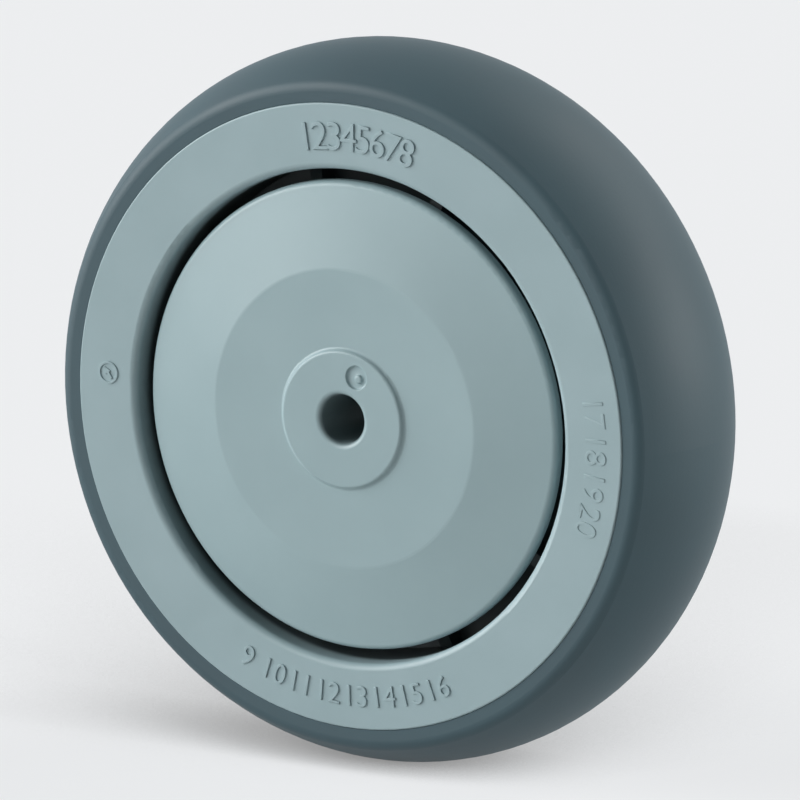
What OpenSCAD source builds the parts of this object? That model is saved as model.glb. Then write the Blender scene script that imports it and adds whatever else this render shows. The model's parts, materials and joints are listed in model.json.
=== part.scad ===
// Trolley wheel: rubber tyre on a moulded plastic centre, which turns on two ball bearings.
// The axle runs along Y, the side with the finer view is towards -Y, and the origin is the wheel's centre.

/* [Tyre] */
// Wheel diameter over the crown of the tread
wheel_d = 125; // [100:1:160]
// Width of the tyre between its side faces
tyre_w = 32; // [28:1:40]
// Height of the tyre from the edge of the plastic rim to the crown of the tread
tyre_h = 8.4; // [7:0.1:14]
// Radius of the tread's arc across the width
tread_r = 26.8; // [24:0.2:60]
// Rounding between the tread and the tyre's side face
shoulder_round = 2.3; // [0.4:0.1:3]
// Width of the small groove where the tyre's side meets the rim
joint_groove = 0.1; // [0.05:0.05:0.6]

/* [Wheel centre] */
// How far the plastic ring stands proud of the tyre's side
ring_proud = 0.25; // [0:0.05:1]
// Width of the ring between the tyre and its opening
ring_w = 11.4; // [9:0.1:14]
// Rounding that leads from the face of the ring into the opening
mouth_round = 1.2; // [0.5:0.1:4]
// Rounding of the ring's outer edge
ring_edge_round = 0.3; // [0.1:0.05:0.6]
// Thickness of each flange that holds the tyre sideways
flange_t = 2.6; // [2:0.1:4]
// Depth of the tyre's bed below the edge of the flanges
bed_depth = 4.6; // [3:0.1:6]
// Width of the ridge that keys the tyre to its bed
key_w = 6; // [4:0.5:8]
// Height of the ridge above the bed
key_h = 4.8; // [3.4:0.1:5.6]
// Diameter of the holes in the ridge that the rubber fills
key_hole_d = 3; // [1.5:0.1:3.2]
// Number of those holes
key_holes = 24; // [12:1:32]
// Thickness of the web between hub and rim
web_t = 4; // [3:0.5:6]
// Number of radial ribs
ribs = 10; // [6:1:14]
// Thickness of each rib
rib_t = 2.4; // [1.6:0.1:3.2]
// Height of each rib at the rim, from the middle of the wheel
rib_rim_h = 5; // [3:0.5:8]
// Wall of the hub outside the bearings
hub_wall = 4; // [3:0.1:6]
// Distance from the bearing's face to the end of the hub
bearing_recess = 0.5; // [0.2:0.1:1]

/* [Thread guards] */
// Overall length of the hub, between the faces that the fork clamps
hub_length = 36; // [34:0.5:42]
// Wall of the guard
guard_t = 1.8; // [1.4:0.1:2.4]
// Width of the open gap between the guard and the ring
guard_gap = 2.2; // [1:0.1:3]
// Clearance between the guard's back and the turning hub
guard_clear = 0.7; // [0.4:0.1:1.5]
// Width of the guard's conical band
cone_w = 14.7; // [10:0.1:18]
// Fall of the conical band from the flat zone to the edge
cone_fall = 2.7; // [1.5:0.1:4]
// Rounding between the flat zone and the conical band
cone_round = 3; // [1:0.5:8]
// Rounding of the guard's outer edge
guard_edge_round = 1.1; // [0.4:0.1:1.2]
// Depth of the guard's edge along the axle
skirt_h = 2.2; // [1.8:0.1:5]
// Diameter of the face of the raised boss round the axle hole
boss_d = 23.4; // [19:0.1:30]
// Height of the boss above the flat zone
boss_h = 0.7; // [0.5:0.1:1.5]
// Width of the slope round the boss
boss_slope_w = 0.5; // [0.3:0.1:2]
// Rounding at the top and the foot of that slope
boss_round = 0.6; // [0.2:0.1:1.5]
// Number of stiffening ribs behind the guard
guard_ribs = 8; // [4:1:12]
// Thickness of those ribs
guard_rib_t = 1.2; // [0.8:0.1:2]

/* [Axle] */
// Diameter of the hole for the axle bolt
axle_hole_d = 8.4; // [6.2:0.1:9]
// Rounding at the mouth of the axle hole
axle_round = 1; // [0.2:0.1:2]
// Outer diameter of the spacer tube between the bearings
spacer_od = 16; // [14.5:0.1:16.8]
// Radial clearance of the guards' spigots in the bearings and the spacer tube
spigot_clear = 0.05; // [0.02:0.01:0.1]
// How far each spigot reaches into the spacer tube
spigot_reach = 1.5; // [0.5:0.1:2]

/* [Bearings] */
// Bore of the bearing
bearing_d = 12; // [11:0.5:13]
// Outer diameter of the bearing
bearing_od = 28; // [27:0.5:32]
// Width of the bearing
bearing_w = 8; // [7.5:0.5:9]
// Ball diameter
ball_d = 4.762; // [4.2:0.001:5]
// Number of balls
balls = 8; // [6:1:8]
// Free play between each ball and its races, on the radius
race_clear = 0.02; // [0.01:0.01:0.05]
// Free play between each ball and its cage pocket
pocket_clear = 0.1; // [0.05:0.01:0.15]
// Sheet thickness of the cage
cage_t = 0.4; // [0.3:0.05:0.45]
// Width of the cage's band, from its inner to its outer edge
cage_band = 1.8; // [1.4:0.1:2]
// Shank diameter of the cage rivets
rivet_d = 0.7; // [0.5:0.1:0.8]
// Sheet thickness of the shields
shield_t = 0.3; // [0.2:0.05:0.4]
// Distance from the bearing's face to the shield
shield_inset = 0.4; // [0.2:0.05:0.5]
// Gap between the shield and the inner ring
shield_clear = 0.25; // [0.15:0.05:0.4]
// Chamfer on the edges of the rings
ring_chamfer = 0.3; // [0.2:0.05:0.5]

/* [Hidden] */
$fn = 96;

// How far cutting shapes stand out of what they cut, and how far joined shapes run into each other
spare = 1;
bite = 0.3;
core_spare = 3;
// Facets of the widest and of the smallest round shapes
fine_fn = 256;
small_fn = 24;

// Radii from the tyre inwards
wheel_r = wheel_d / 2;
rim_r = wheel_r - tyre_h;
mouth_r = rim_r - ring_w;
guard_r = mouth_r - guard_gap;
flat_r = guard_r - cone_w;
bed_r = rim_r - bed_depth;
key_r = bed_r + key_h;
hub_r = bearing_od / 2 + hub_wall;

// Places along the axle, counted outwards from the middle of the wheel
tyre_y = tyre_w / 2;
ring_y = tyre_y + ring_proud;
flange_y = ring_y - flange_t;
boss_y = hub_length / 2;
flat_y = boss_y - boss_h;
guard_back_y = flat_y - guard_t;
guard_edge_y = flat_y - cone_fall;
skirt_y = guard_edge_y - skirt_h;
hub_y = guard_back_y - guard_clear;
bearing_out_y = hub_y - bearing_recess;
bearing_in_y = bearing_out_y - bearing_w;
bearing_y = (bearing_out_y + bearing_in_y) / 2;
spigot_y = bearing_in_y - spigot_reach;

// How far the wedges of the roundings stand out past their corners
wedge_grow = 1.25;
shoulder_grow = 1.5;

// Smaller shapes of the wheel centre
bed_slope = 1;
hub_shoulder = 1.6;
hub_chamfer = 0.6;
hub_bore_r = bearing_od / 2 - hub_shoulder;
rib_clear = 0.8;

// The cone's slope, and the guard's inner faces behind it
cone_angle = atan2(cone_fall, cone_w);
cone_back_y = guard_edge_y + guard_t * tan(cone_angle) - guard_t / cos(cone_angle);
skirt_r = guard_r - guard_t;
skirt_round = 0.3;
guard_back_round = 0.6;
guard_rib_foot_gap = 1;
guard_rib_foot_r = hub_r + guard_rib_foot_gap;
guard_rib_ramp = 4;

// Spigot and spacer tube
spigot_r = bearing_d / 2 - spigot_clear;
spigot_chamfer = 0.4;
spigot_shoulder_gap = 0.2;
spacer_bore_r = bearing_d / 2;
spacer_chamfer = 0.3;

// Bearing sizes
pitch_r = (bearing_d + bearing_od) / 4;
ball_r = ball_d / 2;
groove_fit = 1.04;
groove_r = groove_fit * ball_r;
inner_race_r = pitch_r - ball_r - race_clear;
outer_race_r = pitch_r + ball_r + race_clear;
land_share = 0.6;
inner_land_r = pitch_r - land_share * ball_r;
outer_land_r = pitch_r + land_share * ball_r;
shield_step = 0.75;
shield_seat_r = outer_land_r + shield_step;
shield_lip_gap = 0.1;
shield_out_y = bearing_w / 2 - shield_inset;
shield_in_y = shield_out_y - shield_t;
rivet_head_h = 0.25;
rivet_head_lip = 0.25;
rivet_head_d = rivet_d + 2 * rivet_head_lip;

// Colours
rubber_grey = [0.33, 0.38, 0.41];
plastic_grey = [0.62, 0.68, 0.71];
steel_grey = [0.72, 0.73, 0.75];

// Corner roundings as true arcs: the arc's centre lies on the bisector of the corner
function unit(v) = v / norm(v);
function turn(a, b) = a[0] * b[1] - a[1] * b[0];
function half_angle(a, b) = acos(max(-1, min(1, a * b))) / 2;

// One corner p between the directions a and b along its edges, filled out to the scale given
module corner_wedge(p, a, b, r, grow) {
    h = half_angle(a, b);
    centre = p + unit(a + b) * r / sin(h);
    foot_a = p + a * r / tan(h);
    foot_b = p + b * r / tan(h);
    difference() {
        polygon([
            centre,
            centre + (foot_a - centre) * grow,
            centre + (p - centre) * grow,
            centre + (foot_b - centre) * grow
        ]);
        translate(centre)
            circle(r);
    }
}

// Outline through [x, y, rounding] points, listed anticlockwise
module rounded_outline(corners) {
    count = len(corners);
    spot = [for (c = corners) [c[0], c[1]]];
    back = [for (i = [0:count - 1]) unit(spot[(i + count - 1) % count] - spot[i])];
    ahead = [for (i = [0:count - 1]) unit(spot[(i + 1) % count] - spot[i])];
    convex = [for (i = [0:count - 1]) if (corners[i][2] > 0 && turn(back[i], ahead[i]) < 0) i];
    hollow = [for (i = [0:count - 1]) if (corners[i][2] > 0 && turn(back[i], ahead[i]) > 0) i];
    difference() {
        union() {
            polygon(spot);
            for (i = hollow)
                corner_wedge(spot[i], back[i], ahead[i], corners[i][2], 1);
        }
        for (i = convex)
            corner_wedge(spot[i], back[i], ahead[i], corners[i][2], wedge_grow);
    }
}

// Turns a profile of radius and distance along the axle into a body; side 1 faces -Y, side -1 faces +Y
module about_axle(side = 1) {
    rotate([90 * side, 0, 0])
        children();
}

module turned() {
    rotate_extrude()
        children();
}

// Places a bearing piece; its own +Z looks out of the wheel
module at_bearing(side) {
    about_axle(side)
        translate([0, 0, bearing_y])
            children();
}

module around_axle(count, offset = 0) {
    for (i = [0:count - 1])
        rotate([0, (i + offset) * 360 / count, 0])
            children();
}

// Tyre
module tread_section() {
    tread_x = wheel_r - tread_r;
    soft_r = tread_r - shoulder_round;
    soft_y = tyre_y - shoulder_round;
    soft_x = tread_x + sqrt(soft_r * soft_r - soft_y * soft_y);
    // Unit direction in which the rounding meets the tread, and how far its wedge reaches
    meet = unit([soft_x - tread_x, soft_y]);
    reach = shoulder_grow * shoulder_round;
    difference() {
        intersection() {
            translate([tread_x, 0])
                circle(tread_r, $fn = fine_fn);
            translate([bed_r - spare, -tyre_y])
                square([wheel_r - bed_r + 2 * spare, tyre_w]);
        }
        for (s = [-1, 1])
            difference() {
                polygon([
                    [soft_x, s * soft_y],
                    [soft_x, s * (tyre_y + bite)],
                    [soft_x + reach, s * (tyre_y + bite)],
                    [soft_x + reach * meet[0], s * (soft_y + reach * meet[1])]
                ]);
                translate([soft_x, s * soft_y])
                    circle(shoulder_round);
            }
        // Chamfer that leaves the groove beside the rim
        for (s = [-1, 1])
            polygon([
                [rim_r - spare, s * (tyre_y + spare)],
                [rim_r - spare, s * (tyre_y - joint_groove - spare)],
                [rim_r, s * (tyre_y - joint_groove)],
                [rim_r + joint_groove, s * tyre_y],
                [rim_r + joint_groove + spare, s * (tyre_y + spare)]
            ]);
    }
}

// The bed, filled out inwards and sideways so that it cuts the tyre free of the rim
module bed_section() {
    core_r = bed_r - core_spare;
    polygon([
        [core_r, ring_y + spare],
        [rim_r, ring_y + spare],
        [rim_r, flange_y],
        [bed_r, flange_y - bed_slope],
        [bed_r, key_w / 2],
        [key_r, key_w / 2],
        [key_r, -key_w / 2],
        [bed_r, -key_w / 2],
        [bed_r, bed_slope - flange_y],
        [rim_r, -flange_y],
        [rim_r, -ring_y - spare],
        [core_r, -ring_y - spare]
    ]);
}

// The holes through the key ridge, and the rubber that fills them
module key_pegs() {
    around_axle(key_holes)
        translate([bed_r + key_h / 2, 0, 0])
            rotate([90, 0, 0])
                cylinder(d = key_hole_d, h = key_w + spare, center = true, $fn = small_fn);
}

module tyre() {
    color(rubber_grey) {
        about_axle()
            turned()
                difference() {
                    tread_section();
                    bed_section();
                }
        key_pegs();
    }
}

// Wheel centre
module rim_section() {
    rounded_outline([
        [mouth_r, -ring_y, mouth_round],
        [rim_r, -ring_y, ring_edge_round],
        [rim_r, -flange_y, 0],
        [bed_r, bed_slope - flange_y, 0],
        [bed_r, -key_w / 2, 0],
        [key_r, -key_w / 2, 0],
        [key_r, key_w / 2, 0],
        [bed_r, key_w / 2, 0],
        [bed_r, flange_y - bed_slope, 0],
        [rim_r, flange_y, 0],
        [rim_r, ring_y, ring_edge_round],
        [mouth_r, ring_y, mouth_round]
    ]);
}

module hub_section() {
    seat_r = bearing_od / 2;
    polygon([
        [seat_r + hub_chamfer, hub_y],
        [seat_r, hub_y - hub_chamfer / 2],
        [seat_r, bearing_in_y],
        [hub_bore_r, bearing_in_y],
        [hub_bore_r, -bearing_in_y],
        [seat_r, -bearing_in_y],
        [seat_r, hub_chamfer / 2 - hub_y],
        [seat_r + hub_chamfer, -hub_y],
        [hub_r, -hub_y],
        [hub_r, hub_y]
    ]);
}

module web_section() {
    translate([hub_r - bite, -web_t / 2])
        square([mouth_r - hub_r + 2 * bite, web_t]);
}

module rib() {
    hub_top = hub_y - rib_clear;
    linear_extrude(rib_t, center = true)
        polygon([
            [hub_r - spare, -hub_top],
            [hub_r, -hub_top],
            [mouth_r, -rib_rim_h],
            [mouth_r + bite, -rib_rim_h],
            [mouth_r + bite, rib_rim_h],
            [mouth_r, rib_rim_h],
            [hub_r, hub_top],
            [hub_r - spare, hub_top]
        ]);
}

module wheel_centre() {
    color(plastic_grey)
        difference() {
            union() {
                about_axle()
                    turned()
                        union() {
                            rim_section();
                            hub_section();
                            web_section();
                        }
                around_axle(ribs)
                    rib();
            }
            key_pegs();
        }
}

// Thread guards
module guard_section() {
    hole_r = axle_hole_d / 2;
    shoulder_r = inner_land_r - spigot_shoulder_gap;
    rounded_outline([
        [hole_r, spigot_y, 0],
        [spigot_r - spigot_chamfer, spigot_y, 0],
        [spigot_r, spigot_y + spigot_chamfer, 0],
        [spigot_r, bearing_out_y, 0],
        [shoulder_r, bearing_out_y, 0],
        [shoulder_r, guard_back_y, guard_back_round],
        [flat_r, guard_back_y, 0],
        [skirt_r, cone_back_y, 0],
        [skirt_r, skirt_y, 0],
        [guard_r, skirt_y, skirt_round],
        [guard_r, guard_edge_y, guard_edge_round],
        [flat_r, flat_y, cone_round],
        [boss_d / 2 + boss_slope_w, flat_y, boss_round],
        [boss_d / 2, boss_y, boss_round],
        [hole_r, boss_y, axle_round]
    ]);
}

module guard_rib() {
    rib_y = skirt_y + bite;
    rotate([90, 0, 0])
        linear_extrude(guard_rib_t, center = true)
            polygon([
                [guard_rib_foot_r, hub_y],
                [guard_rib_foot_r + guard_rib_ramp, rib_y],
                [skirt_r + bite, rib_y],
                [skirt_r + bite, cone_back_y + bite],
                [flat_r, guard_back_y + bite],
                [guard_rib_foot_r, guard_back_y + bite]
            ]);
}

module thread_guard(side) {
    color(plastic_grey)
        about_axle(side) {
            turned()
                guard_section();
            for (i = [0:guard_ribs - 1])
                rotate([0, 0, i * 360 / guard_ribs])
                    guard_rib();
        }
}

// Spacer tube between the inner rings
module spacer_tube() {
    inner_r = spacer_bore_r;
    outer_r = spacer_od / 2;
    color(steel_grey)
        about_axle()
            turned()
                polygon([
                    [inner_r + spacer_chamfer, bearing_in_y],
                    [inner_r, bearing_in_y - spacer_chamfer],
                    [inner_r, spacer_chamfer - bearing_in_y],
                    [inner_r + spacer_chamfer, -bearing_in_y],
                    [outer_r - spacer_chamfer, -bearing_in_y],
                    [outer_r, spacer_chamfer - bearing_in_y],
                    [outer_r, bearing_in_y - spacer_chamfer],
                    [outer_r - spacer_chamfer, bearing_in_y]
                ]);
}

// Bearing pieces, each about its own middle
module outer_ring(side) {
    edge = bearing_w / 2;
    color(steel_grey)
        at_bearing(side)
            turned()
                difference() {
                    polygon([
                        [shield_seat_r, -edge],
                        [bearing_od / 2 - ring_chamfer, -edge],
                        [bearing_od / 2, ring_chamfer - edge],
                        [bearing_od / 2, edge - ring_chamfer],
                        [bearing_od / 2 - ring_chamfer, edge],
                        [shield_seat_r, edge],
                        [shield_seat_r, shield_in_y],
                        [outer_land_r, shield_in_y],
                        [outer_land_r, -shield_in_y],
                        [shield_seat_r, -shield_in_y]
                    ]);
                    translate([outer_race_r - groove_r, 0])
                        circle(groove_r);
                }
}

module inner_ring(side) {
    edge = bearing_w / 2;
    color(steel_grey)
        at_bearing(side)
            turned()
                difference() {
                    polygon([
                        [bearing_d / 2 + ring_chamfer, -edge],
                        [inner_land_r, -edge],
                        [inner_land_r, edge],
                        [bearing_d / 2 + ring_chamfer, edge],
                        [bearing_d / 2, edge - ring_chamfer],
                        [bearing_d / 2, ring_chamfer - edge]
                    ]);
                    translate([inner_race_r + groove_r, 0])
                        circle(groove_r);
                }
}

module each_ball(offset = 0) {
    for (i = [0:balls - 1])
        rotate([0, 0, (i + offset) * 360 / balls])
            translate([pitch_r, 0, 0])
                children();
}

module ball_set(side) {
    color(steel_grey)
        at_bearing(side)
            each_ball()
                sphere(ball_r);
}

// Pressed half of the ribbon cage: flat tabs between the balls, a cupped pocket round each; part 1 is outboard
module cage_half(side, part) {
    cup_r = ball_r + pocket_clear;
    color(steel_grey)
        at_bearing(side)
            mirror([0, 0, part > 0 ? 0 : 1])
                difference() {
                    intersection() {
                        union() {
                            cylinder(r = pitch_r + cage_band / 2, h = cage_t);
                            each_ball()
                                sphere(cup_r + cage_t);
                        }
                        difference() {
                            cylinder(r = pitch_r + cage_band / 2, h = bearing_w);
                            translate([0, 0, -spare])
                                cylinder(r = pitch_r - cage_band / 2, h = bearing_w + 2 * spare);
                        }
                    }
                    each_ball()
                        sphere(cup_r);
                    each_ball(0.5)
                        translate([0, 0, -spare])
                            cylinder(d = rivet_d, h = cage_t + 2 * spare, $fn = small_fn);
                }
}

module cage_rivets(side) {
    color(steel_grey)
        at_bearing(side)
            each_ball(0.5) {
                cylinder(d = rivet_d, h = 2 * cage_t, center = true, $fn = small_fn);
                for (s = [-1, 1])
                    translate([0, 0, s * (cage_t + rivet_head_h / 2)])
                        cylinder(d = rivet_head_d, h = rivet_head_h, center = true, $fn = small_fn);
            }
}

// Shield pressed into the outer ring's step; part 1 is outboard
module shield(side, part) {
    lip_y = bearing_w / 2 - shield_lip_gap;
    color(steel_grey)
        at_bearing(side)
            mirror([0, 0, part > 0 ? 0 : 1])
                turned()
                    polygon([
                        [inner_land_r + shield_clear, shield_in_y],
                        [shield_seat_r, shield_in_y],
                        [shield_seat_r, lip_y],
                        [shield_seat_r - shield_t, lip_y],
                        [shield_seat_r - shield_t, shield_out_y],
                        [inner_land_r + shield_clear, shield_out_y]
                    ]);
}

tyre();
wheel_centre();
thread_guard(1);  // thread_guard_front
thread_guard(-1);  // thread_guard_rear
spacer_tube();
outer_ring(1);  // front_outer_ring
inner_ring(1);  // front_inner_ring
ball_set(1);  // front_balls
cage_half(1, 1);  // front_cage_outboard
cage_half(1, -1);  // front_cage_inboard
cage_rivets(1);  // front_cage_rivets
shield(1, 1);  // front_shield_outboard
shield(1, -1);  // front_shield_inboard
outer_ring(-1);  // rear_outer_ring
inner_ring(-1);  // rear_inner_ring
ball_set(-1);  // rear_balls
cage_half(-1, 1);  // rear_cage_outboard
cage_half(-1, -1);  // rear_cage_inboard
cage_rivets(-1);  // rear_cage_rivets
shield(-1, 1);  // rear_shield_outboard
shield(-1, -1);  // rear_shield_inboard
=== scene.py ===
import json
import math

import bmesh
import bpy
from mathutils import Matrix, Vector


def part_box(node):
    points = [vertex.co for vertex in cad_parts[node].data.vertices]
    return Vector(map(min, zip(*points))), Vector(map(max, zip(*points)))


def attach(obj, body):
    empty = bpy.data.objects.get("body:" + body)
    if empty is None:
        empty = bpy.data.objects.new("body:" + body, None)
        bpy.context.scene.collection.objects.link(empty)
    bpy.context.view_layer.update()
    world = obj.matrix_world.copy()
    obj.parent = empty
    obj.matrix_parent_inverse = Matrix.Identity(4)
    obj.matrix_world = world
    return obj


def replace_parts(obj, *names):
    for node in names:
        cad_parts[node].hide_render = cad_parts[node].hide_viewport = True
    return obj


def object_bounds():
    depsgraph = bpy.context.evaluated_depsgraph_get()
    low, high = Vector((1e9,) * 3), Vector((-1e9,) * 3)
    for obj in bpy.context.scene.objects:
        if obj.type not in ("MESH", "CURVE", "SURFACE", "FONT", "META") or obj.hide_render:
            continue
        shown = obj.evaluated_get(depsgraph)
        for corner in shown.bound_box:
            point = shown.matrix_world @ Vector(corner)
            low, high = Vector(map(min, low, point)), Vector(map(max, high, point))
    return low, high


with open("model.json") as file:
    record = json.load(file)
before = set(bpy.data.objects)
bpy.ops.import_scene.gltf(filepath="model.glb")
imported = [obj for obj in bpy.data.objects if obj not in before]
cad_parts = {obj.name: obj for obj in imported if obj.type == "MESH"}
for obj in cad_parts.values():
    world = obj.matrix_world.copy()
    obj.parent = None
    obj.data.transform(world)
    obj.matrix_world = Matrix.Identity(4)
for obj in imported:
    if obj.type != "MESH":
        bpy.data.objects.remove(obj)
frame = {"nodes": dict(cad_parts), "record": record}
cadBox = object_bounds()
print("frame loaded:", len(frame["nodes"]), "nodes")

# Lengths below are in metres unless a note says otherwise. The axle runs along Y and the shown side faces -Y.
cameraView = {
    "azimuth": 31.774,  # degrees from straight on towards the right
    "elevation": 12.65,
    "distance": 2.0,
    "lens": 528.0,  # millimetres
    "sensor": 36.0,
    "shiftX": 0.0035,
    "shiftY": 0.0,
    "clipStart": 0.01,
    "clipEnd": 50.0,
}


def directionOf(azimuth, elevation):
    a = math.radians(azimuth)
    e = math.radians(elevation)
    return Vector((math.sin(a) * math.cos(e), -math.cos(a) * math.cos(e), math.sin(e)))


def placeCamera(view):
    data = bpy.data.cameras.new("camera")
    data.lens = view["lens"]
    data.sensor_width = view["sensor"]
    data.shift_x = view["shiftX"]
    data.shift_y = view["shiftY"]
    data.clip_start = view["clipStart"]
    data.clip_end = view["clipEnd"]
    camera = bpy.data.objects.new("camera", data)
    bpy.context.scene.collection.objects.link(camera)
    back = directionOf(view["azimuth"], view["elevation"])
    camera.location = back * view["distance"]
    camera.rotation_mode = "QUATERNION"
    camera.rotation_quaternion = (-back).to_track_quat("-Z", "Y")
    bpy.context.scene.camera = camera


# Suns by the direction they shine from; strength is the light on a surface that faces them
studioSuns = {
    "keyLeft": {"azimuth": -60, "elevation": 20, "strength": 2.95, "spread": 45},
    "frontLeft": {"azimuth": -30, "elevation": 20, "strength": 0.65, "spread": 45},
    "lowRight": {"azimuth": 120, "elevation": 0, "strength": 2.6, "spread": 45},
    "highRear": {"azimuth": 150, "elevation": 45, "strength": 1.05, "spread": 45},
}
studioWorld = {
    "backdrop": (0.840, 0.855, 0.870, 1),
    "ambient": (1.0, 1.0, 1.0, 1),
    "ambientStrength": 0.02,
}
studioFloor = {
    "size": 30.0,
    "colour": (0.80, 0.80, 0.80, 1),
    "seenColour": (0.162, 0.162, 0.162, 1),
    "glow": (0.726, 0.738, 0.751, 1),
    # Painted shadow: the floor's glow darkens to the next colour where the wheel closes off the side given
    # below
    "paintedShadowGlow": (0.26, 0.26, 0.26, 1),  # the glow where the wheel closes off the side in the next two lines
    "shadeAzimuth": 50,
    "shadeElevation": 15,
    "shadeFull": 0.55,  # openness of that side at which the shade is full
    "shadeNone": 0.86,
    "shadeReach": 0.2,
    "shadeSamples": 8,
}


def hangSuns(suns):
    for name, sun in suns.items():
        data = bpy.data.lights.new(name, "SUN")
        data.energy = sun["strength"]
        data.angle = math.radians(sun["spread"])
        lamp = bpy.data.objects.new(name, data)
        bpy.context.scene.collection.objects.link(lamp)
        lamp.rotation_mode = "QUATERNION"
        lamp.rotation_quaternion = directionOf(sun["azimuth"], sun["elevation"]).to_track_quat("Z", "Y")


def addNode(tree, kind, x=0, y=0, **settings):
    node = tree.nodes.new(kind)
    node.location = (x, y)
    for key, value in settings.items():
        setattr(node, key, value)
    return node


def seesBackdrop(tree):
    # One where a camera, glossy or transmission ray looks, which then sees the pale backdrop
    path = addNode(tree, "ShaderNodeLightPath", -900, 300)
    first = addNode(tree, "ShaderNodeMath", -650, 300, operation="MAXIMUM")
    second = addNode(tree, "ShaderNodeMath", -450, 300, operation="MAXIMUM")
    tree.links.new(path.outputs["Is Camera Ray"], first.inputs[0])
    tree.links.new(path.outputs["Is Glossy Ray"], first.inputs[1])
    tree.links.new(first.outputs[0], second.inputs[0])
    tree.links.new(path.outputs["Is Transmission Ray"], second.inputs[1])
    return second.outputs[0]


def lightWorld(values):
    world = bpy.data.worlds.new("studio")
    bpy.context.scene.world = world
    world.use_nodes = True
    tree = world.node_tree
    tree.nodes.clear()
    out = addNode(tree, "ShaderNodeOutputWorld", 400, 0)
    mix = addNode(tree, "ShaderNodeMixShader", 200, 0)
    ambient = addNode(tree, "ShaderNodeBackground", 0, 100)
    ambient.inputs["Color"].default_value = values["ambient"]
    ambient.inputs["Strength"].default_value = values["ambientStrength"]
    pale = addNode(tree, "ShaderNodeBackground", 0, -100)
    pale.inputs["Color"].default_value = values["backdrop"]
    pale.inputs["Strength"].default_value = 1
    tree.links.new(seesBackdrop(tree), mix.inputs["Fac"])
    tree.links.new(ambient.outputs[0], mix.inputs[1])
    tree.links.new(pale.outputs[0], mix.inputs[2])
    tree.links.new(mix.outputs[0], out.inputs["Surface"])


def glowWithPaintedShadow(tree, values):
    # Painted shadow: the glow fades where the wheel closes off one side, so a soft painted shadow falls away
    # from that side
    side = addNode(tree, "ShaderNodeCombineXYZ", -1100, -450)
    for axis, part in zip("XYZ", directionOf(values["shadeAzimuth"], values["shadeElevation"])):
        side.inputs[axis].default_value = part
    nearWheel = addNode(tree, "ShaderNodeAmbientOcclusion", -900, -450, samples=values["shadeSamples"])
    nearWheel.inputs["Distance"].default_value = values["shadeReach"]
    tree.links.new(side.outputs[0], nearWheel.inputs["Normal"])
    clear = addNode(tree, "ShaderNodeMapRange", -700, -450)
    clear.inputs["From Min"].default_value = values["shadeFull"]
    clear.inputs["From Max"].default_value = values["shadeNone"]
    tree.links.new(nearWheel.outputs["AO"], clear.inputs["Value"])
    glow = addNode(tree, "ShaderNodeMix", -480, -400, data_type="RGBA")
    glow.inputs["A"].default_value = values["paintedShadowGlow"]
    glow.inputs["B"].default_value = values["glow"]
    tree.links.new(clear.outputs[0], glow.inputs["Factor"])
    return glow.outputs["Result"]


def layFloor(values):
    shape = bmesh.new()
    bmesh.ops.create_grid(shape, x_segments=1, y_segments=1, size=values["size"] / 2)
    mesh = bpy.data.meshes.new("studioFloor")
    shape.to_mesh(mesh)
    shape.free()
    floor = bpy.data.objects.new("studioFloor", mesh)
    bpy.context.scene.collection.objects.link(floor)
    floor.location.z = cadBox[0].z
    material = bpy.data.materials.new("paleFloor")
    material.use_nodes = True
    tree = material.node_tree
    skin = tree.nodes["Principled BSDF"]
    skin.inputs["Roughness"].default_value = 1.0
    skin.inputs["Specular IOR Level"].default_value = 0.0
    # The camera sees a darker floor with a glow, so that it is pale, lights nothing and keeps a soft shadow;
    # the lamps' shadows on it are faint, and most of its shadow is painted into the glow
    seen = seesBackdrop(tree)
    tone = addNode(tree, "ShaderNodeMix", -250, 0, data_type="RGBA")
    tone.inputs["A"].default_value = values["colour"]
    tone.inputs["B"].default_value = values["seenColour"]
    tree.links.new(seen, tone.inputs["Factor"])
    tree.links.new(tone.outputs["Result"], skin.inputs["Base Color"])
    glow = addNode(tree, "ShaderNodeMix", -250, -300, data_type="RGBA")
    glow.inputs["A"].default_value = (0, 0, 0, 1)
    tree.links.new(glowWithPaintedShadow(tree, values), glow.inputs["B"])
    tree.links.new(seen, glow.inputs["Factor"])
    tree.links.new(glow.outputs["Result"], skin.inputs["Emission Color"])
    skin.inputs["Emission Strength"].default_value = 1.0
    mesh.materials.append(material)


placeCamera(cameraView)
hangSuns(studioSuns)
lightWorld(studioWorld)
layFloor(studioFloor)
print("studio ready")

# Shared effects, all from Object coordinates
skinNoise = {
    "grainDetail": 3,
    "grainRoughness": 0.6,
    "mottleDetail": 4,
    "pitMiddle": 0.02,  # distance from a pinprick's middle up to which it is deepest, in cells
    "pitEdge": 0.14,
}
streakNoise = {
    "wanderDetail": 2,
    "wanderDepth": 0.001,  # how far the lines stray
    "lineDetail": 3,
    "lineRoughness": 0.65,
}


def effectGroup(name, inputs, outputs):
    group = bpy.data.node_groups.new(name, "ShaderNodeTree")
    for label, start in inputs.items():
        socketType = "NodeSocketVector" if start is None else "NodeSocketFloat"
        socket = group.interface.new_socket(label, in_out="INPUT", socket_type=socketType)
        if start is not None:
            socket.default_value = start
    for label in outputs:
        group.interface.new_socket(label, in_out="OUTPUT", socket_type="NodeSocketFloat")
    inside = addNode(group, "NodeGroupInput", -1000, 0)
    outside = addNode(group, "NodeGroupOutput", 700, 0)
    return group, inside, outside


def mathNode(tree, operation, first, second=None, third=None, x=0, y=0):
    # Numbers go into the node's own sockets, and sockets are linked
    node = addNode(tree, "ShaderNodeMath", x, y, operation=operation)
    for place, value in enumerate((first, second, third)):
        if value is None:
            continue
        if isinstance(value, (int, float)):
            node.inputs[place].default_value = value
        else:
            tree.links.new(value, node.inputs[place])
    return node.outputs[0]


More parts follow.
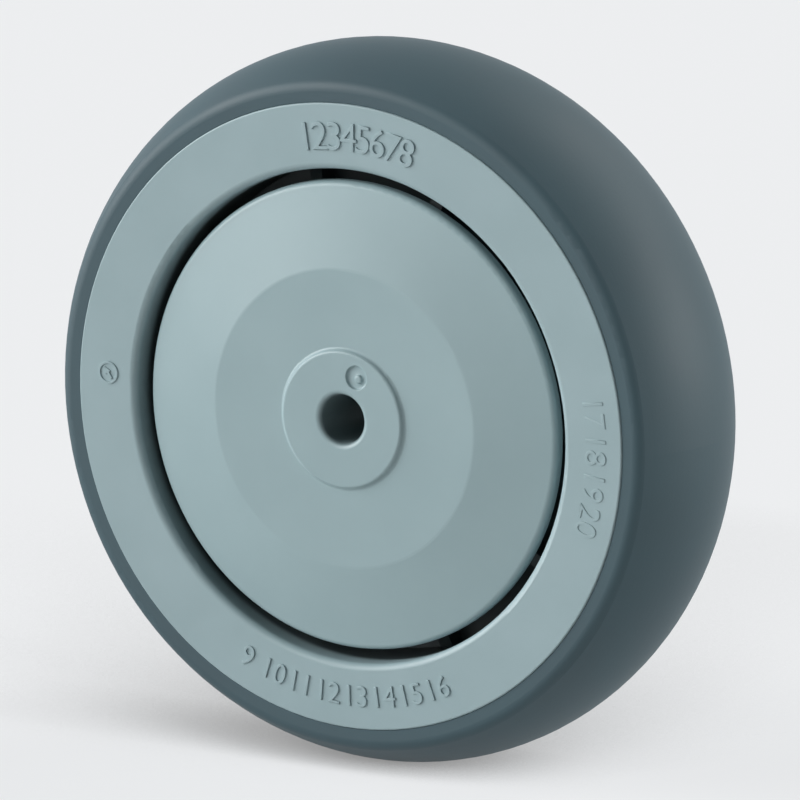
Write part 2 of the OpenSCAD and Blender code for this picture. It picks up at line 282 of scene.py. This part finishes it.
def smoothStep(tree, value, low, high, x=0, y=0):
    node = addNode(tree, "ShaderNodeMapRange", x, y, interpolation_type="SMOOTHSTEP")
    node.inputs["From Min"].default_value = low
    node.inputs["From Max"].default_value = high
    tree.links.new(value, node.inputs["Value"])
    return node.outputs[0]


def radiusNode(tree, parts, x, y):
    # Distance from the axle
    across = mathNode(tree, "MULTIPLY", parts.outputs["X"], parts.outputs["X"], x=x, y=y + 50)
    square = mathNode(tree, "MULTIPLY_ADD", parts.outputs["Z"], parts.outputs["Z"], across, x=x + 160, y=y)
    return mathNode(tree, "SQRT", square, x=x + 320, y=y)


def mouldedSkinGroup(noise):
    # Height is the fine grain of a spark-eroded mould, Mottle its slow changes and Pits its few pinpricks
    inputs = {"Vector": None, "Grain Scale": 2500.0, "Mottle Scale": 60.0, "Pit Scale": 900.0}
    group, inside, outside = effectGroup("mouldedSkin", inputs, ("Height", "Mottle", "Pits"))
    grain = addNode(group, "ShaderNodeTexNoise", -400, 200)
    grain.inputs["Detail"].default_value = noise["grainDetail"]
    grain.inputs["Roughness"].default_value = noise["grainRoughness"]
    mottle = addNode(group, "ShaderNodeTexNoise", -400, -50)
    mottle.inputs["Detail"].default_value = noise["mottleDetail"]
    pits = addNode(group, "ShaderNodeTexVoronoi", -400, -300)
    for texture, scale in ((grain, "Grain Scale"), (mottle, "Mottle Scale"), (pits, "Pit Scale")):
        group.links.new(inside.outputs["Vector"], texture.inputs["Vector"])
        group.links.new(inside.outputs[scale], texture.inputs["Scale"])
    flat = smoothStep(group, pits.outputs["Distance"], noise["pitMiddle"], noise["pitEdge"], -150, -300)
    group.links.new(grain.outputs[0], outside.inputs["Height"])
    group.links.new(mottle.outputs[0], outside.inputs["Mottle"])
    group.links.new(flat, outside.inputs["Pits"])
    return group


def turnedStreaksGroup(noise):
    # Fine lines that run round the axle, as turning and grinding leave them
    inputs = {"Vector": None, "Line Scale": 4000.0, "Wander Scale": 60.0}
    group, inside, outside = effectGroup("turnedStreaks", inputs, ("Streaks", "Blotches"))
    parts = addNode(group, "ShaderNodeSeparateXYZ", -800, 100)
    group.links.new(inside.outputs["Vector"], parts.inputs[0])
    radius = radiusNode(group, parts, -620, 150)
    wander = addNode(group, "ShaderNodeTexNoise", -620, -150)
    wander.inputs["Detail"].default_value = noise["wanderDetail"]
    group.links.new(inside.outputs["Vector"], wander.inputs["Vector"])
    group.links.new(inside.outputs["Wander Scale"], wander.inputs["Scale"])
    drift = mathNode(group, "MULTIPLY", wander.outputs[0], noise["wanderDepth"], x=-300, y=-100)
    place = addNode(group, "ShaderNodeCombineXYZ", -100, 50)
    group.links.new(radius, place.inputs["X"])
    group.links.new(parts.outputs["Y"], place.inputs["Y"])
    group.links.new(drift, place.inputs["Z"])
    lines = addNode(group, "ShaderNodeTexNoise", 100, 50)
    lines.inputs["Detail"].default_value = noise["lineDetail"]
    lines.inputs["Roughness"].default_value = noise["lineRoughness"]
    group.links.new(place.outputs[0], lines.inputs["Vector"])
    group.links.new(inside.outputs["Line Scale"], lines.inputs["Scale"])
    group.links.new(lines.outputs[0], outside.inputs["Streaks"])
    group.links.new(wander.outputs[0], outside.inputs["Blotches"])
    return group


mouldedSkin = mouldedSkinGroup(skinNoise)
turnedStreaks = turnedStreaksGroup(streakNoise)

ringPlastic = {
    "light": (0.315, 0.424, 0.450, 1),
    "dark": (0.298, 0.405, 0.429, 1),
    "roughness": 0.42,
    "roughnessSpread": 0.06,
    "grainScale": 2600.0,
    "grainDepth": 0.000006,
    "mottleScale": 70.0,
    "pitDepth": 0.000004,
    "deepFrom": 0.0130,  # painted shade: the inside of the wheel behind the guards is darkened from this distance along the axle
    "deepTo": 0.0110,
    "deepPaintedShade": 0.22,
}
guardPlastic = {
    "light": (0.310, 0.424, 0.447, 1),
    "dark": (0.295, 0.406, 0.429, 1),
    "roughness": 0.38,
    "roughnessSpread": 0.06,
    "grainScale": 2900.0,
    "grainDepth": 0.000005,
    "mottleScale": 55.0,
    "pitDepth": 0.000003,
    "holeFrom": 0.0048,  # painted shade: the wall of the axle hole is darkened from this distance off the axle
    "holeTo": 0.004224,
    "holePaintedShade": 0.5,
}
tyreRubber = {
    "light": (0.038, 0.079, 0.096, 1),
    "dark": (0.034, 0.070, 0.086, 1),
    "roughness": 0.56,
    "roughnessSpread": 0.08,
    "grainScale": 1900.0,
    "grainDepth": 0.000012,
    "mottleScale": 45.0,
    "pitDepth": 0.000008,
    "lineScale": 900.0,
    "lineDepth": 0.000010,
}
mottleSpan = (0.35, 0.65)  # the mottle between which the dark colour turns into the light one


def paintedShadeColour(tree, colour, unshadedShare, shade):
    # Painted shade: the share is one where the colour stays and zero where the colour is darkened to the
    # painted shade
    share = addNode(tree, "ShaderNodeMapRange", -660, 500)
    share.inputs["To Min"].default_value = shade
    tree.links.new(unshadedShare, share.inputs["Value"])
    tone = addNode(tree, "ShaderNodeVectorMath", -200, 300, operation="SCALE")
    tree.links.new(colour, tone.inputs[0])
    tree.links.new(share.outputs[0], tone.inputs["Scale"])
    return tone.outputs[0]


def paintedHoleShade(tree, vector, colour, values):
    # Painted shade on the wall of the axle hole
    parts = addNode(tree, "ShaderNodeSeparateXYZ", -1500, 500)
    tree.links.new(vector, parts.inputs[0])
    radius = radiusNode(tree, parts, -1300, 500)
    unshadedShare = smoothStep(tree, radius, values["holeTo"], values["holeFrom"], -820, 500)
    return paintedShadeColour(tree, colour, unshadedShare, values["holePaintedShade"])


def paintedDeepShade(tree, vector, colour, values):
    # Painted shade deep inside the wheel, behind the guards
    parts = addNode(tree, "ShaderNodeSeparateXYZ", -1500, 500)
    tree.links.new(vector, parts.inputs[0])
    outward = mathNode(tree, "ABSOLUTE", parts.outputs["Y"], x=-1300, y=500)
    unshadedShare = smoothStep(tree, outward, values["deepTo"], values["deepFrom"], -820, 500)
    return paintedShadeColour(tree, colour, unshadedShare, values["deepPaintedShade"])


def colourRamp(tree, mask, span, dark, light):
    ramp = addNode(tree, "ShaderNodeValToRGB", -550, 200)
    ramp.color_ramp.elements[0].position = span[0]
    ramp.color_ramp.elements[0].color = dark
    ramp.color_ramp.elements[1].position = span[1]
    ramp.color_ramp.elements[1].color = light
    tree.links.new(mask, ramp.inputs["Fac"])
    return ramp.outputs["Color"]


def addBump(tree, skin, height, distance):
    bump = addNode(tree, "ShaderNodeBump", 0, -250)
    bump.inputs["Strength"].default_value = 1.0
    bump.inputs["Distance"].default_value = distance
    tree.links.new(height, bump.inputs["Height"])
    tree.links.new(bump.outputs["Normal"], skin.inputs["Normal"])


def mouldedMaterial(name, values):
    material = bpy.data.materials.new(name)
    material.use_nodes = True
    tree = material.node_tree
    skin = tree.nodes["Principled BSDF"]
    place = addNode(tree, "ShaderNodeTexCoord", -1700, 0)
    effect = addNode(tree, "ShaderNodeGroup", -850, 0)
    effect.node_tree = mouldedSkin
    effect.inputs["Grain Scale"].default_value = values["grainScale"]
    effect.inputs["Mottle Scale"].default_value = values["mottleScale"]
    tree.links.new(place.outputs["Object"], effect.inputs["Vector"])
    colour = colourRamp(tree, effect.outputs["Mottle"], mottleSpan, values["dark"], values["light"])
    # Painted shade on the wall of the axle hole
    if "holePaintedShade" in values:
        colour = paintedHoleShade(tree, place.outputs["Object"], colour, values)
    # Painted shade deep inside the wheel, behind the guards
    if "deepPaintedShade" in values:
        colour = paintedDeepShade(tree, place.outputs["Object"], colour, values)
    tree.links.new(colour, skin.inputs["Base Color"])
    rough = addNode(tree, "ShaderNodeMapRange", -550, -50)
    rough.inputs["To Min"].default_value = values["roughness"] - values["roughnessSpread"]
    rough.inputs["To Max"].default_value = values["roughness"] + values["roughnessSpread"]
    tree.links.new(effect.outputs["Mottle"], rough.inputs["Value"])
    tree.links.new(rough.outputs[0], skin.inputs["Roughness"])
    height = mathNode(tree, "MULTIPLY", effect.outputs["Height"], values["grainDepth"], x=-550, y=-300)
    pits = effect.outputs["Pits"]
    height = mathNode(tree, "MULTIPLY_ADD", pits, values["pitDepth"], height, x=-380, y=-300)
    if "lineScale" in values:
        lines = addNode(tree, "ShaderNodeGroup", -850, -300)
        lines.node_tree = turnedStreaks
        lines.inputs["Line Scale"].default_value = values["lineScale"]
        tree.links.new(place.outputs["Object"], lines.inputs["Vector"])
        streaks = lines.outputs["Streaks"]
        height = mathNode(tree, "MULTIPLY_ADD", streaks, values["lineDepth"], height, x=-210, y=-300)
    addBump(tree, skin, height, 1.0)  # the height is in metres
    return material


# Steels of the bearings and the tube; those with a line scale are turned or ground
ringSteel = {
    "colour": (0.56, 0.56, 0.57, 1),
    "roughness": 0.22,
    "lineScale": 5200.0,
    "depth": 0.0000006,
}
ballSteel = {
    "colour": (0.66, 0.66, 0.67, 1),
    "roughness": 0.08,
    "depth": 0.0000001,
}
cageSteel = {
    "colour": (0.50, 0.49, 0.47, 1),
    "roughness": 0.36,
    "depth": 0.0000015,
}
shieldSteel = {
    "colour": (0.54, 0.55, 0.56, 1),
    "roughness": 0.30,
    "lineScale": 2600.0,
    "depth": 0.0000010,
}
tubeSteel = {
    "colour": (0.55, 0.57, 0.60, 1),
    "roughness": 0.34,
    "lineScale": 3400.0,
    "depth": 0.0000015,
}
steelSkin = {
    "slowScale": 150.0,  # slow blotches of every steel
    "grainScale": 1400.0,  # grain of a pressed or polished piece
    "span": (0.3, 0.7),  # the noise that the colour and the roughness change over
    "darkShare": 0.86,
    "smoothShare": 0.8,
    "roughShare": 1.2,
}


def steelMaterial(name, values, shared):
    # Turned pieces have lines round the axle, and pressed or polished ones an even grain
    material = bpy.data.materials.new(name)
    material.use_nodes = True
    tree = material.node_tree
    skin = tree.nodes["Principled BSDF"]
    skin.inputs["Metallic"].default_value = 1.0
    place = addNode(tree, "ShaderNodeTexCoord", -1100, 0)
    effect = addNode(tree, "ShaderNodeGroup", -850, 0)
    if "lineScale" in values:
        effect.node_tree = turnedStreaks
        effect.inputs["Line Scale"].default_value = values["lineScale"]
        effect.inputs["Wander Scale"].default_value = shared["slowScale"]
        fine = effect.outputs["Streaks"]
        slow = effect.outputs["Blotches"]
    else:
        effect.node_tree = mouldedSkin
        effect.inputs["Grain Scale"].default_value = shared["grainScale"]
        effect.inputs["Mottle Scale"].default_value = shared["slowScale"]
        fine = effect.outputs["Height"]
        slow = effect.outputs["Mottle"]
    tree.links.new(place.outputs["Object"], effect.inputs["Vector"])
    light = values["colour"]
    dark = [c * shared["darkShare"] for c in light[:3]] + [1]
    tree.links.new(colourRamp(tree, slow, shared["span"], dark, light), skin.inputs["Base Color"])
    rough = addNode(tree, "ShaderNodeMapRange", -550, -50)
    rough.inputs["From Min"].default_value = shared["span"][0]
    rough.inputs["From Max"].default_value = shared["span"][1]
    rough.inputs["To Min"].default_value = values["roughness"] * shared["smoothShare"]
    rough.inputs["To Max"].default_value = values["roughness"] * shared["roughShare"]
    tree.links.new(fine, rough.inputs["Value"])
    tree.links.new(rough.outputs[0], skin.inputs["Roughness"])
    addBump(tree, skin, fine, values["depth"])
    return material


finishes = {
    "wheel_plastic": mouldedMaterial("wheelPlastic", ringPlastic),
    "guard_plastic": mouldedMaterial("guardPlastic", guardPlastic),
    "tyre_rubber": mouldedMaterial("tyreRubber", tyreRubber),
    "ring_steel": steelMaterial("ringSteel", ringSteel, steelSkin),
    "ball_steel": steelMaterial("ballSteel", ballSteel, steelSkin),
    "cage_steel": steelMaterial("cageSteel", cageSteel, steelSkin),
    "shield_steel": steelMaterial("shieldSteel", shieldSteel, steelSkin),
    "tube_steel": steelMaterial("tubeSteel", tubeSteel, steelSkin),
}

for part in frame["record"]["subparts"]:
    node = frame["nodes"][part["node"]]
    for materialSlot in node.material_slots:
        materialSlot.material = finishes[part["material_slot"]]

# Plain numbers raised on the flat rings, round the wheel as on a dial; angles go round from +X towards +Z
ringNumbers = {
    "topNumbers": {
        "texts": ["1", "2", "3", "4", "5", "6", "7", "8"],
        "middle": 87.7,
        "step": -3.4,
        "radius": 0.0486,
        "height": 0.0050,
        "relief": 0.00030,
        "tops": "outward",
    },
    "bottomNumbers": {
        "texts": ["9", "10", "11", "12", "13", "14", "15", "16"],
        "middle": -91.2,
        "step": 6.6,
        "radius": 0.0482,
        "height": 0.0038,
        "relief": 0.00026,
        "tops": "inward",
    },
    "sideNumbers": {
        "texts": ["17", "18", "19", "20"],
        "middle": -3.3,
        "step": -7.4,
        "radius": 0.0492,
        "height": 0.0042,
        "relief": 0.00014,
        "tops": "outward",
    },
}
numberShape = {
    "digitShare": 0.72,  # height of a digit in the default font, as a share of the text size
    "sink": 0.00006,  # how far a digit reaches into the ring
    "edge": 0.00008,  # rounding of a digit's edges
    "edgeSteps": 2,
    "curveSteps": 5,
    "merge": 0.0000005,
}
# The moulder's dial on the left of the ring, with an arrow and no numbers
mouldDial = {
    "angle": 177.3,
    "radius": 0.0482,
    "outer": 0.0020,
    "inner": 0.00155,
    "sink": 0.00006,
    "relief": 0.00022,
    "edge": 0.00007,
    "arrowLength": 0.0024,
    "arrowWidth": 0.0013,
    "arrowShaft": 0.35,  # width of the shaft as a share of the arrow's
    "arrowTurn": 35.0,  # degrees from straight up
    "segments": 40,
}


def faceFrames(distance):
    # Places on the front and the rear face at this distance along the axle, with z outwards
    front = Matrix(((1, 0, 0, 0), (0, 0, -1, -distance), (0, 1, 0, 0), (0, 0, 0, 1)))
    return front, Matrix.Rotation(math.pi, 4, "Z") @ front


def spotOnRing(angle, radius, turn):
    a = math.radians(angle)
    spot = Matrix.Translation((radius * math.cos(a), radius * math.sin(a), 0))
    return spot @ Matrix.Rotation(math.radians(turn), 4, "Z")


def digitMesh(text, values, shared):
    curve = bpy.data.curves.new("digits", "FONT")
    curve.body = text
    curve.align_x = "CENTER"
    curve.size = values["height"] / shared["digitShare"]
    curve.resolution_u = shared["curveSteps"]
    curve.offset = -shared["edge"]
    curve.bevel_depth = shared["edge"]
    curve.bevel_resolution = shared["edgeSteps"]
    curve.extrude = (values["relief"] + shared["sink"]) / 2 - shared["edge"]
    holder = bpy.data.objects.new("digits", curve)
    bpy.context.scene.collection.objects.link(holder)
    graph = bpy.context.evaluated_depsgraph_get()
    mesh = bpy.data.meshes.new_from_object(holder.evaluated_get(graph), depsgraph=graph)
    bpy.data.objects.remove(holder)
    return mesh


def showPiece(name, mesh, slot, body):
    mesh.materials.clear()
    mesh.materials.append(finishes[slot])
    piece = bpy.data.objects.new(name, mesh)
    bpy.context.scene.collection.objects.link(piece)
    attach(piece, body)
    return piece


def keepPiece(name, shape, place, slot, body):
    # The place goes into the mesh, so that the object stays at the origin
    mesh = bpy.data.meshes.new(name)
    shape.transform(place)
    bmesh.ops.recalc_face_normals(shape, faces=shape.faces)
    shape.to_mesh(mesh)
    shape.free()
    return showPiece(name, mesh, slot, body)


def numberRow(values, shared):
    shape = bmesh.new()
    count = len(values["texts"])
    turn = -90 if values["tops"] == "outward" else 90
    for place, text in enumerate(values["texts"]):
        mesh = digitMesh(text, values, shared)
        angle = values["middle"] + (place - (count - 1) / 2) * values["step"]
        lift = (values["relief"] - shared["sink"]) / 2
        middled = Matrix.Translation((0, -values["height"] / 2, lift))
        mesh.transform(spotOnRing(angle, values["radius"], angle + turn) @ middled)
        shape.from_mesh(mesh)
        bpy.data.meshes.remove(mesh)
    bmesh.ops.remove_doubles(shape, verts=shape.verts, dist=shared["merge"])
    return shape


def dialShape(values):
    shape = bmesh.new()
    low = -values["sink"]
    high = values["relief"]
    edge = values["edge"]
    band = [
        (values["inner"], low),
        (values["inner"], high - edge),
        (values["inner"] + edge, high),
        (values["outer"] - edge, high),
        (values["outer"], high - edge),
        (values["outer"], low),
    ]
    verts = [shape.verts.new((r, 0, z)) for r, z in band]
    edges = [shape.edges.new((verts[i], verts[(i + 1) % len(verts)])) for i in range(len(verts))]
    bmesh.ops.spin(shape, geom=verts + edges, cent=(0, 0, 0), axis=(0, 0, 1), angle=2 * math.pi,
                   steps=values["segments"], use_merge=True, use_duplicate=False)
    half = values["arrowLength"] / 2
    wide = values["arrowWidth"] / 2
    shaft = wide * values["arrowShaft"]
    arrow = [
        (0, half),
        (-wide, 0),
        (-shaft, 0),
        (-shaft, -half),
        (shaft, -half),
        (shaft, 0),
        (wide, 0),
    ]
    outline = [shape.verts.new((x, y, low)) for x, y in arrow]
    bottom = shape.faces.new(outline)
    grown = bmesh.ops.extrude_face_region(shape, geom=[bottom])
    tops = [v for v in grown["geom"] if isinstance(v, bmesh.types.BMVert)]
    bmesh.ops.translate(shape, verts=tops, vec=(0, 0, high - low))
    turned = Matrix.Rotation(math.radians(values["arrowTurn"]), 4, "Z")
    bmesh.ops.transform(shape, matrix=turned, verts=outline + tops)
    return shape


frontRing, rearRing = faceFrames(-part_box("wheel_centre")[0].y)
for side, face in (("front", frontRing), ("rear", rearRing)):
    for rowName, row in ringNumbers.items():
        pieceName = side + rowName[0].upper() + rowName[1:]
        keepPiece(pieceName, numberRow(row, numberShape), face, "wheel_plastic", "wheel")
    dialPlace = face @ spotOnRing(mouldDial["angle"], mouldDial["radius"], 0)
    keepPiece(side + "MouldDial", dialShape(mouldDial), dialPlace, "wheel_plastic", "wheel")
print("marks raised on both rings")

# The mark that the mould's gate leaves on each boss: a shallow well with the broken stub in it
gateMark = {
    "x": 0.00295,  # middle of the well, seen from the side that the guard faces
    "z": 0.0076,
    "wellRadius": 0.0022,
    "wellDepth": 0.00050,
    "round": 0.00016,
    "stubRadius": 0.00075,
    "stubX": 0.00030,  # the stub stands off the middle of the well
    "stubZ": -0.00028,
    "stubBelow": 0.00004,  # how far the stub ends below the boss
    # Steps of the profile from the rim to the middle, in shares of the round where no note says otherwise
    "rimSteps": [(0, 0), (0.6, 0.2), (1, 1)],  # inwards and down from the rim
    "footSteps": [(1.2, 1), (1.8, 0.2), (2.4, 0)],  # inwards from the rim and up from the bottom
    "stubFootSteps": [(1, 0), (0.3, 0.3), (0, 1)],  # outwards from the stub and up from the bottom
    "stubTopSteps": [(0.92, 1), (0.75, 0.2), (0.5, 0), (0, 0)],  # share of its radius, and down from its top
    "stubReach": 1.2,  # rounds past the stub's radius that move aside with it
    "segments": 40,
    "merge": 0.0000002,
    "flatness": 0.000001,
}


def gateProfile(values):
    # Radius and height from the rim of the well to the middle of the stub
    r = values["round"]
    well = values["wellRadius"]
    bottom = -values["wellDepth"]
    stub = values["stubRadius"]
    top = -values["stubBelow"]
    profile = [(well - r * inwards, -r * down) for inwards, down in values["rimSteps"]]
    profile += [(well - r * inwards, bottom + r * up) for inwards, up in values["footSteps"]]
    profile += [(stub + r * outwards, bottom + r * up) for outwards, up in values["stubFootSteps"]]
    profile += [(stub * share, top - r * down) for share, down in values["stubTopSteps"]]
    return profile


def keepNormals(mesh):
    # The corner normals go into an attribute, which the bmesh carries along
    normals = [0.0] * (3 * len(mesh.loops))
    mesh.corner_normals.foreach_get("vector", normals)
    mesh.attributes.new("keptNormal", "FLOAT_VECTOR", "CORNER").data.foreach_set("vector", normals)


def giveNormals(mesh):
    layer = mesh.attributes["keptNormal"]
    normals = [0.0] * (3 * len(mesh.loops))
    layer.data.foreach_get("vector", normals)
    mesh.attributes.remove(layer)
    mesh.normals_split_custom_set([normals[i:i + 3] for i in range(0, len(normals), 3)])


def spinGate(shape, place, values):
    # The well and its stub, with the stub moved aside
    old = set(shape.faces)
    line = [shape.verts.new(place @ Vector((r, 0, z))) for r, z in gateProfile(values)]
    edges = [shape.edges.new(pair) for pair in zip(line, line[1:])]
    bmesh.ops.spin(shape, geom=line + edges, cent=place.translation, axis=place.to_3x3() @ Vector((0, 0, 1)),
                   angle=2 * math.pi, steps=values["segments"], use_merge=True, use_duplicate=False)
    verts = list({v for f in shape.faces if f not in old for v in f.verts})
    bmesh.ops.remove_doubles(shape, verts=verts, dist=values["merge"])
    wellFaces = [f for f in shape.faces if f not in old]
    toPlace = place.inverted()
    reach = values["stubRadius"] + values["round"] * values["stubReach"]
    stubVerts = {v for f in wellFaces for v in f.verts if (toPlace @ v.co).xy.length < reach}
    aside = place.to_3x3() @ Vector((values["stubX"], values["stubZ"], 0))
    bmesh.ops.translate(shape, verts=list(stubVerts), vec=aside)
    return wellFaces


def cutGate(shape, face, values):
    # The boss's face is taken off and filled again round the well; new corners get normals of their own
    toFace = face.inverted()
    outward = face.to_3x3() @ Vector((0, 0, 1))

    def onFace(vert):
        return abs((toFace @ vert.co).z) < values["flatness"]

    bossFaces = [f for f in shape.faces if all(onFace(v) for v in f.verts)]
    bmesh.ops.delete(shape, geom=bossFaces, context="FACES")
    wellFaces = spinGate(shape, face @ Matrix.Translation((values["x"], values["z"], 0)), values)
    rims = [e for e in shape.edges if e.is_boundary and all(onFace(v) for v in e.verts)]
    filled = bmesh.ops.triangle_fill(shape, edges=rims, use_beauty=True, use_dissolve=False, normal=outward)
    flatFaces = [f for f in filled["geom"] if isinstance(f, bmesh.types.BMFace)]
    bmesh.ops.recalc_face_normals(shape, faces=shape.faces)
    shape.normal_update()
    kept = shape.loops.layers.float_vector["keptNormal"]
    for f in wellFaces:
        f.smooth = True
        for loop in f.loops:
            loop[kept] = loop.vert.normal
    for f in flatFaces:
        for loop in f.loops:
            loop[kept] = outward


def markedGuard(name, nodeName, face, values):
    # A copy of the guard takes the guard's place
    mesh = frame["nodes"][nodeName].data.copy()
    mesh.name = name
    keepNormals(mesh)
    shape = bmesh.new()
    shape.from_mesh(mesh)
    bmesh.ops.remove_doubles(shape, verts=shape.verts, dist=values["merge"])
    cutGate(shape, face, values)
    shape.to_mesh(mesh)
    shape.free()
    giveNormals(mesh)
    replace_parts(showPiece(name, mesh, "guard_plastic", "axle_group"), nodeName)


frontBoss, rearBoss = faceFrames(-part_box("thread_guard_front")[0].y)
markedGuard("frontGuard", "thread_guard_front", frontBoss, gateMark)
markedGuard("rearGuard", "thread_guard_rear", rearBoss, gateMark)
print("gate marks cut into both guards")

bpy.context.scene.view_settings.view_transform = "Standard"
